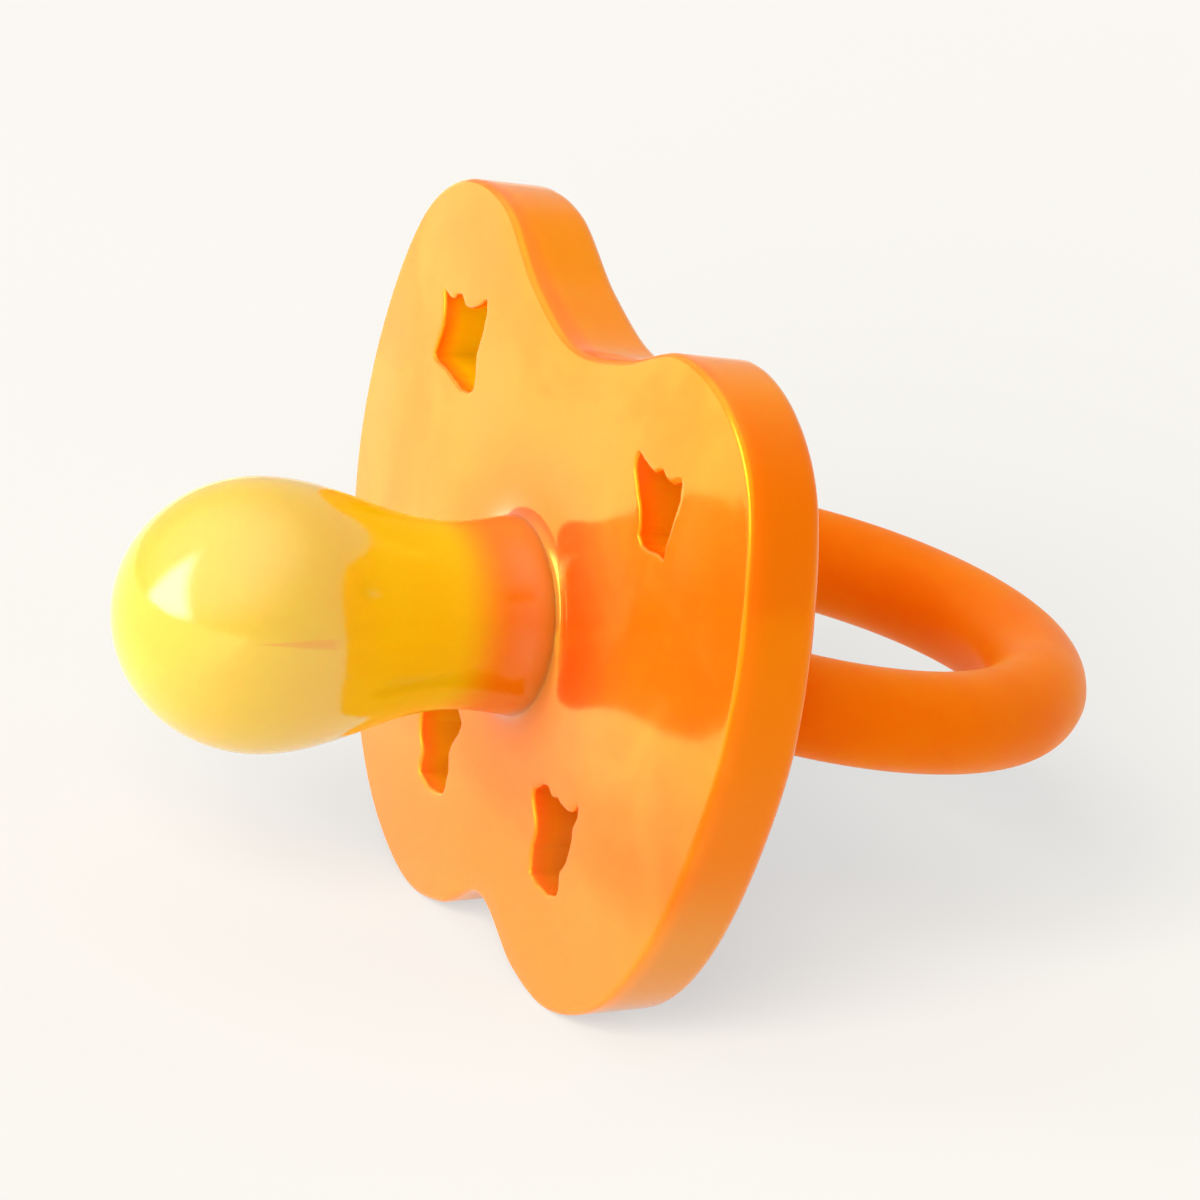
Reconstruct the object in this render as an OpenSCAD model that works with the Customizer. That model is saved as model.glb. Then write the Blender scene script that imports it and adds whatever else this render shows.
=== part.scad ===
// Natural rubber pacifier with a cherry-shaped teat, a butterfly shield and a swinging ring handle.
// Millimetres. The teat points along -Y, +Z is towards the nose, and X runs along the wings.
// The origin is on the teat's axis, at the front face of the shield.

/* [Shield] */
// Width of the shield across its wings
shield_w = 51; // [42:0.5:62]
// Height of the shield from its lower lobes to its upper lobes
shield_h = 41.4; // [34:0.2:50]
// Thickness of the shield at its middle
shield_t = 6; // [5:0.1:8]
// Radius of the flat middle of the front face
flat_r = 14; // [11:0.5:18]
// Radius of the dome that the front face follows outside its flat middle
dome_r = 180; // [140:5:400]
// How far the collar stands ahead of the shield
collar_h = 2.4; // [1:0.1:3]
// Thickness of the collar at its lip
collar_lip = 0.6; // [0.4:0.1:1.2]
// How far the collar spreads at its foot
collar_flare = 2.6; // [1:0.1:3.5]

/* [Vents] */
// Width of a vent across its crown points
vent_w = 5.8; // [5:0.1:7]
// Height of a vent
vent_h = 5.8; // [5:0.1:7]
// Width of a vent at its foot
vent_foot_w = 4.6; // [3.5:0.1:5.6]
// Depth of the two scallops between the crown points
vent_scallop = 1; // [0.5:0.1:1.6]
// Height of the rounded foot of a vent
vent_foot_h = 1; // [0.5:0.1:2]
// Distance of the upper vents' middles from the shield's side
upper_vent_in = 11.9; // [9:0.1:14]
// Distance of the upper vents' middles from the shield's top
upper_vent_down = 8.5; // [7:0.1:10]
// Distance of the lower vents' middles from the shield's side
lower_vent_in = 16.7; // [12:0.1:18]
// Distance of the lower vents' middles from the shield's bottom
lower_vent_up = 10.2; // [8:0.1:11]

/* [Teat] */
// Outer radius of the neck
neck_r = 5.45; // [4.5:0.05:6.6]
// Thickness of the teat's wall
teat_wall = 1.2; // [0.9:0.1:1.5]
// Length of the straight neck ahead of the shield
neck_straight = 4.5; // [3:0.1:6]
// Outer radius of the bulb at its widest
bulb_r = 8; // [7:0.1:10]
// Distance of the bulb's widest ring ahead of the shield
bulb_ahead = 16.8; // [13:0.1:21]
// Length of the bulb's round nose past its widest ring
bulb_nose = 8.6; // [7:0.1:11]
// Width of the flange that stands out from the neck
teat_flange_w = 2; // [1.2:0.1:2.6]
// Thickness of that flange
teat_flange_t = 1.2; // [0.9:0.1:1.5]

/* [Plug] */
// Thickness of the plug's flange, which closes the back of the shield
plug_flange_t = 1.6; // [1:0.1:2]
// Length of the stem that closes the neck
stem_l = 5.5; // [3:0.1:7]
// Height of the taper on the stem's tip
stem_taper = 0.8; // [0.4:0.1:1.5]
// Width of the eye that carries the ring
eye_w = 8; // [6:0.5:11]
// Wall of the eye round the ring's bar
eye_wall = 1.8; // [1.4:0.1:2.4]
// How far the web is set in from the sides of the eye
web_inset = 0.5; // [0.3:0.1:1]

/* [Ring] */
// Radius of the ring's centre line
ring_r = 14.6; // [12:0.1:17.6]
// Radius of the ring's round section
section_r = 3; // [2.4:0.1:3.6]
// Distance from the ring's hinge bar to the middle of the ring
ring_reach = 8; // [6.4:0.1:9.3]
// Radius of the bends at the ends of the bar, on the centre line
bend_r = 4; // [3.8:0.1:5]
// How far the ring hangs below the teat's axis, in degrees
ring_droop = 5.5; // [0:0.5:10]

/* [Fits] */
// Clearance round the teat and round the plug, in the seats that hold them
seat_clear = 0.05; // [0.02:0.01:0.1]
// Radial clearance of the ring's bar in the eye
pivot_clear = 0.08; // [0.03:0.01:0.1]
// Gap between the shield's back and the ring when it is folded flat
fold_gap = 0.5; // [0.3:0.1:1]

/* [Hidden] */

// Right half of the shield's outline, from the nose notch round to the chin notch, as shares of the
// half width and the half height.
half_outline = [
    [0, 0.80], [0.24, 0.87], [0.47, 1.00], [0.70, 0.97], [0.89, 0.79], [0.985, 0.44], [1.00, 0.07],
    [0.92, -0.31], [0.79, -0.64], [0.62, -0.87], [0.40, -0.99], [0.20, -0.96], [0, -0.84],
];
outline_steps = 6;
curve_steps = 12;
dome_fn = 240;
cut = 1;
$fn = 96;

bore_r = neck_r + seat_clear;
flange_r = neck_r + teat_flange_w;
inner_r = neck_r - teat_wall;
plug_y = shield_t - plug_flange_t;
seat_y = plug_y - teat_flange_t;
bar_r = section_r;
eye_r = bar_r + pivot_clear + eye_wall;
pivot_y = shield_t + fold_gap + section_r;
bend_x = sqrt(pow(ring_r - bend_r, 2) - pow(ring_reach - bend_r, 2));
bend_angle = atan2(ring_reach - bend_r, bend_x);
bend_swell = 0.05;
bend_lap = 0.2;
lap_angle = 1;

// A point on the smooth curve from b to c, between its neighbours a and d.
function curve_point(a, b, c, d, t) =
    0.5 * (2 * b + (c - a) * t + (2 * a - 5 * b + 4 * c - d) * t * t
           + (3 * b - a - 3 * c + d) * t * t * t);

// A smooth closed curve through every point of a list.
function closed_curve(points, steps) =
    let (n = len(points))
    [for (i = [0 : n - 1]) for (s = [0 : steps - 1])
        curve_point(points[(i + n - 1) % n], points[i], points[(i + 1) % n], points[(i + 2) % n],
                    s / steps)];

function mirrored(half) =
    concat(half, [for (i = [len(half) - 2 : -1 : 1]) [-half[i][0], half[i][1]]]);

function scaled(points, x, z) = [for (p = points) [p[0] * x, p[1] * z]];

// Radius of the teat's outside between the straight neck and the widest ring of the bulb.
function swell(ahead) =
    let (t = (ahead - neck_straight) / (bulb_ahead - neck_straight))
    neck_r + (bulb_r - neck_r) * (1 - cos(180 * t)) / 2;

// The teat's skin at one depth below its outside, from the neck to the tip.
function teat_skin(depth) = concat(
    [for (i = [0 : curve_steps - 1])
        let (ahead = neck_straight + (bulb_ahead - neck_straight) * i / curve_steps)
        [swell(ahead) - depth, ahead]],
    [for (i = [0 : curve_steps])
        let (a = 90 * i / curve_steps)
        [(bulb_r - depth) * cos(a), bulb_ahead + (bulb_nose - depth) * sin(a)]]
);

function reversed(list) = [for (i = [len(list) - 1 : -1 : 0]) list[i]];

// Turns a shape so that its Z axis points along -Y and its Y axis points along +Z.
module face_forward() {
    rotate([90, 0, 0]) children();
}

// A round bar or hole on the teat's axis, from one depth behind the face to another.
module on_axis(r, from_y, to_y) {
    face_forward() translate([0, 0, -to_y]) cylinder(r = r, h = to_y - from_y);
}

module along_x(r, length) {
    rotate([0, 90, 0]) cylinder(r = r, h = length, center = true);
}

// A crown: three points up, two scallops between them, sides that narrow to a rounded foot.
module crown() {
    top = vent_h / 2;
    foot = vent_foot_h - vent_h / 2;
    polygon(concat(
        [for (side = [-1, 0]) for (i = [0 : 5])
            let (t = i / 6) [vent_w / 2 * (side + t), top - vent_scallop * sin(180 * t)]],
        [[vent_w / 2, top]],
        [for (i = [0 : 8])
            let (a = 180 * i / 8) [vent_foot_w / 2 * cos(a), foot - vent_foot_h * sin(a)]]
    ));
}

module vent(x, z) {
    face_forward() translate([x, z, -shield_t - cut]) linear_extrude(shield_t + 2 * cut) crown();
}

module vents() {
    for (side = [-1, 1]) {
        vent(side * (shield_w / 2 - upper_vent_in), shield_h / 2 - upper_vent_down);
        vent(side * (shield_w / 2 - lower_vent_in), lower_vent_up - shield_h / 2);
    }
}

// Flat at the back, and in front flat round the neck and gently domed from there to the edge.
module slab() {
    outline = closed_curve(mirrored(scaled(half_outline, shield_w / 2, shield_h / 2)), outline_steps);
    intersection() {
        face_forward() translate([0, 0, -shield_t]) linear_extrude(shield_t) polygon(outline);
        translate([0, sqrt(pow(dome_r, 2) - pow(flat_r, 2)), 0]) sphere(r = dome_r, $fn = dome_fn);
    }
}

// The flared collar that meets the neck, sunk into the slab so that the two are one.
module collar() {
    lip_r = bore_r + collar_lip;
    face_forward() rotate_extrude() polygon(concat(
        [[bore_r - cut, -cut], [lip_r + collar_flare, -cut]],
        [for (i = [0 : curve_steps])
            let (a = 90 * i / curve_steps)
            [lip_r + collar_flare * (1 - sin(a)), collar_h * (1 - cos(a))]],
        [[bore_r - cut, collar_h]]
    ));
}

// Hollow bulb and neck in one skin, with the flange that the shield and the plug hold.
module teat() {
    color("#f5c842")
    face_forward() rotate_extrude() polygon(concat(
        [[inner_r, -plug_y], [flange_r, -plug_y], [flange_r, -seat_y], [neck_r, -seat_y]],
        teat_skin(0),
        reversed(teat_skin(teat_wall))
    ));
}

module shield() {
    color("#f9a53c")
    difference() {
        union() {
            slab();
            collar();
        }
        on_axis(bore_r, -collar_h - cut, shield_t + cut);
        on_axis(flange_r + seat_clear, seat_y, shield_t + cut);
        vents();
    }
}

// Closes the neck from behind, fills the seat in the shield and carries the ring.
module plug() {
    stem_r = inner_r - seat_clear;
    web_z = eye_r - web_inset;
    color("#f08c1e")
    difference() {
        union() {
            on_axis(flange_r, plug_y, shield_t);
            on_axis(stem_r, plug_y - stem_l, shield_t);
            face_forward() translate([0, 0, stem_l - plug_y])
                cylinder(r1 = stem_r, r2 = stem_r - stem_taper, h = stem_taper);
            translate([-eye_w / 2, plug_y + plug_flange_t / 2, -web_z])
                cube([eye_w, pivot_y - plug_y - plug_flange_t / 2, 2 * web_z]);
            translate([0, pivot_y, 0]) along_x(eye_r, eye_w);
        }
        translate([0, pivot_y, 0]) along_x(bar_r + pivot_clear, eye_w + 2 * cut);
    }
}

// One stretch of the ring's tube, bent to a radius about Z and starting at an angle from X.
module bend(radius, thickness_r, start, sweep) {
    rotate([0, 0, start]) rotate_extrude(angle = sweep) translate([radius, 0]) circle(r = thickness_r);
}

// A round handle with one straight side, the bar that turns in the eye. The two bends at the bar's
// ends are a hair thicker, and the bar and the round stretch run a little way into them.
module ring() {
    color("#e8740c")
    translate([0, pivot_y, 0]) rotate([-ring_droop, 0, 0]) union() {
        along_x(bar_r, 2 * (bend_x + bend_lap));
        translate([0, ring_reach, 0])
            bend(ring_r, section_r, -bend_angle - lap_angle, 180 + 2 * (bend_angle + lap_angle));
        translate([bend_x, bend_r, 0]) bend(bend_r, section_r + bend_swell, -90, 90 - bend_angle);
        translate([-bend_x, bend_r, 0])
            bend(bend_r, section_r + bend_swell, 180 + bend_angle, 90 - bend_angle);
    }
}

teat();
shield();
plug();
ring();
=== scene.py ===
"""Natural rubber pacifier: finished pieces, finishes, floor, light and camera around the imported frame.

Metres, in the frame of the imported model: the teat points along -Y, +Z is towards the nose, X runs along
the wings, and the origin is on the teat's axis at the front face of the shield.
"""

import logging
import math
from dataclasses import dataclass
from enum import Enum
from typing import Callable, Iterable

import bmesh
import bpy
import numpy as np
from bmesh.types import BMEdge, BMesh, BMVert
from bpy.types import Material, Node, NodeSocket, NodeTree
from mathutils import Matrix, Vector, noise


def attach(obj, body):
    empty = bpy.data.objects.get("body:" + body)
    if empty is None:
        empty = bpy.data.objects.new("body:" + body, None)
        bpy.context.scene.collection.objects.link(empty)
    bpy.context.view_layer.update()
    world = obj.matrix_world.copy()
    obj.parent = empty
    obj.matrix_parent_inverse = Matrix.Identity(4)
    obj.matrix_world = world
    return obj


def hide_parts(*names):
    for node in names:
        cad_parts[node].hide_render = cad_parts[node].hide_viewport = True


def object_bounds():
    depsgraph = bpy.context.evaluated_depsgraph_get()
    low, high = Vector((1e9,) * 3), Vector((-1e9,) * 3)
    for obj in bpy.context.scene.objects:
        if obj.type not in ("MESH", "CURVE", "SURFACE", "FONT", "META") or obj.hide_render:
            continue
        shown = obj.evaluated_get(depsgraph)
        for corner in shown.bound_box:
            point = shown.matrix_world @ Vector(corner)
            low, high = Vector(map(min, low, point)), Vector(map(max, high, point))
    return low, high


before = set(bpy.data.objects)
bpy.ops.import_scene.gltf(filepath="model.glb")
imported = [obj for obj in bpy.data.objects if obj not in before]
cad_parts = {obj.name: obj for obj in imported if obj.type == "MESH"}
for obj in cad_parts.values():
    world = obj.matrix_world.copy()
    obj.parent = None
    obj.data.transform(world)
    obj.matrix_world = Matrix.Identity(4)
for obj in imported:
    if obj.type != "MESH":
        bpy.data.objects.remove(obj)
CAD_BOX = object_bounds()

LOG = logging.getLogger("pacifier")
MM = 0.001
AXIS_Y = Vector((0.0, 1.0, 0.0))
MERGE = 1e-7
# Attribute for how much painted light a vent wall takes.
PAINTED_VENT_LIGHT = "painted_vent_light"
Shade = tuple[float, float, float]


class Body(Enum):
    """The moving groups of the frame."""

    PACIFIER = "pacifier_body"
    RING = "ring"


class Slot(Enum):
    """The record's material slots."""

    TEAT = "clear_rubber"
    SHIELD = "shield_rubber"
    PLUG = "plug_rubber"
    RING = "ring_rubber"


# ---------------------------------------------------------------- node helpers


class Graph:
    """A node tree, and the nodes that are added to it. A value is a number or the socket that feeds it."""

    def __init__(self, tree: NodeTree) -> None:
        """Takes hold of the tree."""
        self.tree = tree

    def link(self, source: NodeSocket, target: NodeSocket) -> None:
        """Joins two sockets."""
        self.tree.links.new(source, target)

    def place(self, kind: str, values: dict | None = None, **settings: object) -> Node:
        """Adds a node, sets its properties, and fills or links its inputs.

        Args:
            kind: The node's type name.
            values: Input name or number, and its value.
            settings: Properties of the node.

        Returns:
            The new node.
        """
        node = self.tree.nodes.new(kind)
        for key, value in settings.items():
            setattr(node, key, value)
        for key, value in (values or {}).items():
            if isinstance(value, NodeSocket):
                self.link(value, node.inputs[key])
            else:
                node.inputs[key].default_value = value
        return node

    def maths(self, operation: str, *terms: object, clamp: bool = False) -> NodeSocket:
        """The result of a Math node.

        Args:
            operation: The Math node's operation.
            terms: Its values, in the node's order.
            clamp: Whether the result stays between 0 and 1.

        Returns:
            The result's socket.
        """
        node = self.place("ShaderNodeMath", dict(enumerate(terms)), operation=operation, use_clamp=clamp)
        return node.outputs[0]

    def times(self, first: object, second: object) -> NodeSocket:
        """The product of two values."""
        return self.maths("MULTIPLY", first, second)

    def vector(self, operation: str, *terms: object) -> Node:
        """A Vector Math node with its vectors."""
        return self.place("ShaderNodeVectorMath", dict(enumerate(terms)), operation=operation)

    def along(self, vector: NodeSocket, direction: Iterable[float]) -> NodeSocket:
        """How far a vector reaches along a direction."""
        return self.vector("DOT_PRODUCT", vector, tuple(direction)).outputs["Value"]

    def mix(self, share: object, first: object, second: object) -> NodeSocket:
        """The mix of two colours, by the second one's share."""
        return self.place("ShaderNodeMix", {0: share, 6: first, 7: second}, data_type="RGBA").outputs[2]

    def lay_over(self, mask: NodeSocket, amount: object, under: object, over: object) -> NodeSocket:
        """One colour over another, where a mask allows it and by an amount."""
        return self.mix(self.times(mask, amount), under, over)

    def ease(self, value: NodeSocket, low: object, high: object, start: float = 0.0,
             end: float = 1.0) -> NodeSocket:
        """Maps a value to a new range with a smooth start and end.

        Args:
            value: The socket that is read.
            low: The value that gives start.
            high: The value that gives end.
            start: The result at low.
            end: The result at high.

        Returns:
            The mapped value's socket.
        """
        return self.place("ShaderNodeMapRange", {0: value, 1: low, 2: high, 3: start, 4: end},
                          interpolation_type="SMOOTHSTEP").outputs[0]

    def cloudy(self, where: NodeSocket, scale: object, detail: float, rough: float = 0.5,
               warp: float = 0.0) -> NodeSocket:
        """The value of a Noise Texture.

        Args:
            where: The place that is read.
            scale: The noise's scale.
            detail: How many finer layers it has.
            rough: The share of the finer layers.
            warp: How far it is distorted.

        Returns:
            The noise's socket.
        """
        return self.place("ShaderNodeTexNoise", {"Vector": where, "Scale": scale, "Detail": detail,
                                                 "Roughness": rough, "Distortion": warp}).outputs[0]

    def spot(self) -> NodeSocket:
        """The place on the piece, in its own coordinates."""
        return self.place("ShaderNodeTexCoord").outputs["Object"]


# ---------------------------------------------------------------- finishes


class Effects:
    """The shader node groups that the finishes share, each built once. Lengths are in metres."""

    WHITE = (1.0, 1.0, 1.0, 1.0)
    BLOOM_SHIFT = (0.31, 0.17, 0.23)
    MIDDLE_X = (0.015, 0.021)
    HIGH_Z = (0.0, 0.008)
    LOW_Z = (-0.013, -0.005)

    def __init__(self) -> None:
        """Builds every group."""
        self.cloud = self._cloud()
        self.skin = self._skin()
        self.masks = self._masks()

    @staticmethod
    def _start(name: str, inputs: dict, outputs: dict) -> tuple[Graph, Iterable, Iterable]:
        """Starts a shader node group with its sockets and its two end nodes.

        Args:
            name: The group's name.
            inputs: Name and default value of each input, a colour where the value is a tuple.
            outputs: Name and socket type of each output.

        Returns:
            The group's graph, the sockets that it is given, and those that it gives out.
        """
        tree = bpy.data.node_groups.new(name, "ShaderNodeTree")
        for label, value in inputs.items():
            kind = "NodeSocketColor" if isinstance(value, tuple) else "NodeSocketFloat"
            tree.interface.new_socket(label, in_out="INPUT", socket_type=kind).default_value = value
        for label, kind in outputs.items():
            tree.interface.new_socket(label, in_out="OUTPUT", socket_type=kind)
        g = Graph(tree)
        return g, g.place("NodeGroupInput").outputs, g.place("NodeGroupOutput").inputs

    def _cloud(self) -> NodeTree:
        """Two scales of soft cloudiness between a main and a deep shade, with a milky bloom over them.

        Returns:
            The group.
        """
        g, given, out = self._start(
            "rubber_cloud",
            {"Shade": self.WHITE, "Deep": self.WHITE, "Milk": self.WHITE, "Patch Scale": 120.0, "Amount": 0.5,
             "Milk Amount": 0.0}, {"Color": "NodeSocketColor"})
        where = g.spot()
        broad = g.cloudy(where, given["Patch Scale"], 3.0, rough=0.45, warp=0.6)
        fine = g.cloudy(where, g.times(given["Patch Scale"], 5.5), 2.0)
        mask = g.maths("ADD", g.times(g.ease(broad, 0.34, 0.7), 0.8), g.times(g.ease(fine, 0.4, 0.72), 0.2))
        share = g.maths("MULTIPLY", mask, given["Amount"], clamp=True)
        cured = g.mix(share, given["Shade"], given["Deep"])
        aside = g.vector("ADD", where, self.BLOOM_SHIFT)
        spread = g.times(given["Patch Scale"], 1.3)
        bloom = g.cloudy(aside.outputs[0], spread, 2.0, warp=0.9)
        milky = g.lay_over(g.ease(bloom, 0.42, 0.66), given["Milk Amount"], cured, given["Milk"])
        g.link(milky, out["Color"])
        return g.tree

    def _skin(self) -> NodeTree:
        """The skin that a mould leaves: slow flow waves, fine grain, and a gloss that varies with them.

        Returns:
            The group.
        """
        g, given, out = self._start(
            "moulded_skin",
            {"Wave Scale": 260.0, "Grain Scale": 5200.0, "Grain Share": 0.12, "Gloss": 0.14, "Dull": 0.3},
            {"Height": "NodeSocketFloat", "Roughness": "NodeSocketFloat"})
        where = g.spot()
        wave = g.cloudy(where, given["Wave Scale"], 1.5, rough=0.4)
        grain = g.cloudy(where, given["Grain Scale"], 2.0, rough=0.6)
        worn = g.cloudy(where, g.times(given["Wave Scale"], 0.45), 3.0, rough=0.55)
        span = g.maths("SUBTRACT", given["Dull"], given["Gloss"])
        rough = g.maths("MULTIPLY_ADD", g.ease(worn, 0.35, 0.75), span, given["Gloss"])
        grain = g.times(grain, given["Grain Share"])
        g.link(g.maths("ADD", wave, grain), out["Height"])
        g.link(rough, out["Roughness"])
        return g.tree

    def _masks(self) -> NodeTree:
        """How near a point is to the teat's axis, how far along it, and how high or low it is.

        Returns:
            The group.
        """
        g, given, out = self._start(
            "axis_masks", {"Near": 0.006, "Far": 0.014, "From Y": -0.016, "To Y": -0.004},
            dict.fromkeys(("Hub", "Along", "High", "Low"), "NodeSocketFloat"))
        x, y, z = g.place("ShaderNodeSeparateXYZ", {0: g.spot()}).outputs
        squares = [g.times(one, one) for one in (x, z)]
        across = g.maths("SQRT", g.maths("ADD", *squares))
        middle = g.ease(g.maths("ABSOLUTE", x), *self.MIDDLE_X, 1.0, 0.0)
        g.link(g.ease(across, given["Near"], given["Far"], 1.0, 0.0), out["Hub"])
        g.link(g.ease(y, given["From Y"], given["To Y"]), out["Along"])
        g.link(g.times(middle, g.ease(z, *self.HIGH_Z)), out["High"])
        g.link(g.ease(z, *self.LOW_Z, 1.0, 0.0), out["Low"])
        return g.tree


@dataclass(frozen=True)
class DarkStreak:
    """A short darker streak on the side of the bulb, tapered towards the tip. Lengths are in metres."""

    colour: tuple = (0.86, 0.37, 0.0015, 1)
    middle: tuple = (0.00775, -0.0178, 0.00122)
    run: tuple = (0.13, 0.99, 0.05)
    rise: tuple = (-0.367, 0.0, 0.930)
    taper: tuple = (-0.0028, 0.002, 0.00003, 0.00032)
    border: tuple[float, float] = (0.5, 1.3)
    half_length: tuple[float, float] = (0.0018, 0.003)
    reach: tuple[float, float] = (0.004, 0.005)
    depth: float = 0.75

    def mask(self, g: Graph) -> NodeSocket:
        """Where the streak shows.

        Args:
            g: The material's graph.

        Returns:
            The crease's mask.
        """
        off = g.vector("SUBTRACT", g.spot(), self.middle)
        far = g.vector("LENGTH", off.outputs[0]).outputs["Value"]
        run = g.along(off.outputs[0], self.run)
        rise = g.maths("ABSOLUTE", g.along(off.outputs[0], self.rise))
        thin = g.maths("DIVIDE", rise, g.ease(run, *self.taper))
        ends = g.ease(g.maths("ABSOLUTE", run), *self.half_length, 1.0, 0.0)
        shape = g.times(g.ease(thin, *self.border, 1.0, 0.0), ends)
        return g.times(shape, g.ease(far, *self.reach, self.depth, 0.0))


@dataclass(frozen=True)
class Rubber:
    """Glossy natural rubber of one shade, with painted shade, light and reflection laid over it in places.

    The colours are linear. Depths and the reach of light inside it are in metres.
    """

    name: str
    shade: Shade
    deep: Shade
    # Painted shade: a darker colour laid round the teat's neck, faded out between two distances from its
    # axis.
    hub: Shade = (0.9, 0.2, 0.01)
    painted_hub_shade_near: float = 0.006
    painted_hub_shade_far: float = 0.014
    painted_hub_shade_share: float = 0.0
    # Painted light: the lighter colour of the vent walls.
    painted_vent_light: Shade = (0.95, 0.34, 0.002)
    # The zone along the axis. On the shield it is the side wall, painted darker as shade, with painted light
    # on its top and a painted reflection of the floor along its bottom.
    along: Shade = (1.0, 0.5, 0.1)
    wall_low_painted_reflection: Shade | None = None
    wall_top_painted_light: Shade | None = None
    along_from: float = -0.016
    along_to: float = -0.004
    along_share: float = 0.0
    waist: Shade = (0.92, 0.60, 0.003)
    waist_from: float = -0.015
    waist_to: float = -0.011
    waist_share: float = 0.0
    patch_scale: float = 120.0
    patch_amount: float = 0.5
    # The bloom's milky colour. Low on the shield it is also laid on as a painted reflection of the floor,
    # stronger towards the bottom.
    milk_and_low_reflection: Shade = (1.0, 0.5, 0.1)
    milk_amount: float = 0.0
    painted_low_reflection: float = 0.0
    painted_low_reflection_falloff: float = 3.0
    wave_depth: float = 0.00004
    gloss: float = 0.05
    dull: float = 0.11
    glow_reach: float = 0.004
    glow_spread: Shade = (1.0, 0.25, 0.06)
    glow: float = 1.0
    ior: float = 2.0
    level: float = 0.5
    sheen_tint: Shade = (1.0, 0.85, 0.2)
    coat: float = 0.0
    coat_ior: float = 1.6
    coat_rough: float = 0.06
    gleam: float = 0.0
    gleam_near: float = 0.0056
    gleam_far: float = 0.0075
    dark_streak: DarkStreak | None = None

    def make(self, effects: Effects) -> Material:
        """Builds the finish as a node material.

        Args:
            effects: The shared groups.

        Returns:
            The material.
        """
        material = bpy.data.materials.new(self.name)
        material.use_nodes = True
        g = Graph(material.node_tree)
        shader = g.tree.nodes["Principled BSDF"]
        skin = g.place("ShaderNodeGroup", {"Gloss": self.gloss, "Dull": self.dull}, node_tree=effects.skin)
        bump = g.place("ShaderNodeBump", {"Height": skin.outputs["Height"], "Distance": self.wave_depth,
                                          "Strength": 1.0})
        g.link(self._colour(g, effects), shader.inputs["Base Color"])
        g.link(skin.outputs["Roughness"], shader.inputs["Roughness"])
        g.link(bump.outputs[0], shader.inputs["Normal"])
        if self.coat or self.gleam:
            g.link(self._coat(g, effects), shader.inputs["Coat Weight"])
        settings = {"Subsurface Weight": self.glow, "Subsurface Scale": self.glow_reach,
                    "Subsurface Radius": self.glow_spread, "IOR": self.ior, "Specular IOR Level": self.level,
                    "Coat IOR": self.coat_ior, "Coat Roughness": self.coat_rough,
                    "Specular Tint": (*self.sheen_tint, 1)}
        for key, value in settings.items():
            shader.inputs[key].default_value = value
        return material

    def _colour(self, g: Graph, effects: Effects) -> NodeSocket:
        """The cloudy shade with a painted reflection low on it, its waist, its zone along the axis (painted
        shade, light and reflection on the shield's wall), painted shade round the hub, painted light in the
        vents and a darker streak.

        Args:
            g: The material's graph.
            effects: The shared groups.

        Returns:
            The colour's socket.
        """
        cloud = g.place("ShaderNodeGroup",
                        {"Shade": (*self.shade, 1), "Deep": (*self.deep, 1), "Milk": (*self.milk_and_low_reflection, 1),
                         "Patch Scale": self.patch_scale, "Amount": self.patch_amount,
                         "Milk Amount": self.milk_amount}, node_tree=effects.cloud)
        masks = g.place("ShaderNodeGroup",
                        {"Near": self.painted_hub_shade_near, "Far": self.painted_hub_shade_far, "From Y": self.along_from,
                         "To Y": self.along_to}, node_tree=effects.masks).outputs
        waist = g.place("ShaderNodeGroup", {"From Y": self.waist_from, "To Y": self.waist_to},
                        node_tree=effects.masks)
        # Painted reflection: the milky colour laid over the lower face, stronger towards the bottom.
        painted_low_reflection_mask = g.maths("POWER", masks["Low"], self.painted_low_reflection_falloff)
        colour = g.lay_over(painted_low_reflection_mask, self.painted_low_reflection, cloud.outputs["Color"], (*self.milk_and_low_reflection, 1))
        colour = g.lay_over(waist.outputs["Along"], self.waist_share, colour, (*self.waist, 1))
        # On the shield: painted shade on the side wall, painted light on its top and a painted floor
        # reflection at its bottom.
        side = g.mix(masks["Low"], (*self.along, 1), (*(self.wall_low_painted_reflection or self.along), 1))
        side = g.mix(masks["High"], side, (*(self.wall_top_painted_light or self.along), 1))
        colour = g.lay_over(masks["Along"], self.along_share, colour, side)
        # Painted shade round the teat's neck.
        colour = g.lay_over(masks["Hub"], self.painted_hub_shade_share, colour, (*self.hub, 1))
        # Painted light: the vent walls take a lighter colour.
        bore = g.place("ShaderNodeAttribute", attribute_name=PAINTED_VENT_LIGHT)
        colour = g.mix(bore.outputs["Fac"], colour, (*self.painted_vent_light, 1))
        return g.mix(self.dark_streak.mask(g), colour, self.dark_streak.colour) if self.dark_streak else colour

    def _coat(self, g: Graph, effects: Effects) -> NodeSocket:
        """The coat's weight: even on the face, none along the wall, and a gleam close to the axis.

        Args:
            g: The material's graph.
            effects: The shared groups.

        Returns:
            The weight's socket.
        """
        masks = g.place("ShaderNodeGroup",
                        {"Near": self.gleam_near, "Far": self.gleam_far, "From Y": self.along_from,
                         "To Y": self.along_to}, node_tree=effects.masks).outputs
        even = g.maths("MULTIPLY_ADD", masks["Along"], -self.coat, self.coat)
        return g.maths("MULTIPLY_ADD", masks["Hub"], self.gleam, even, clamp=True)


# ---------------------------------------------------------------- mesh helpers


def only(kind: type, made: Iterable) -> list:
    """Those of an operator's results that are of one kind."""
    return [one for one in made if isinstance(one, kind)]


def quarter(steps: int, first: int = 1) -> list[float]:
    """The angles of a quarter turn in even steps, from the numbered one on."""
    return [math.pi / 2 * i / steps for i in range(first, steps + 1)]


def close_up(bm: BMesh) -> None:
    """Merges doubles and turns every face outwards."""
    bmesh.ops.remove_doubles(bm, verts=bm.verts, dist=MERGE)
    bmesh.ops.recalc_face_normals(bm, faces=bm.faces)


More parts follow.
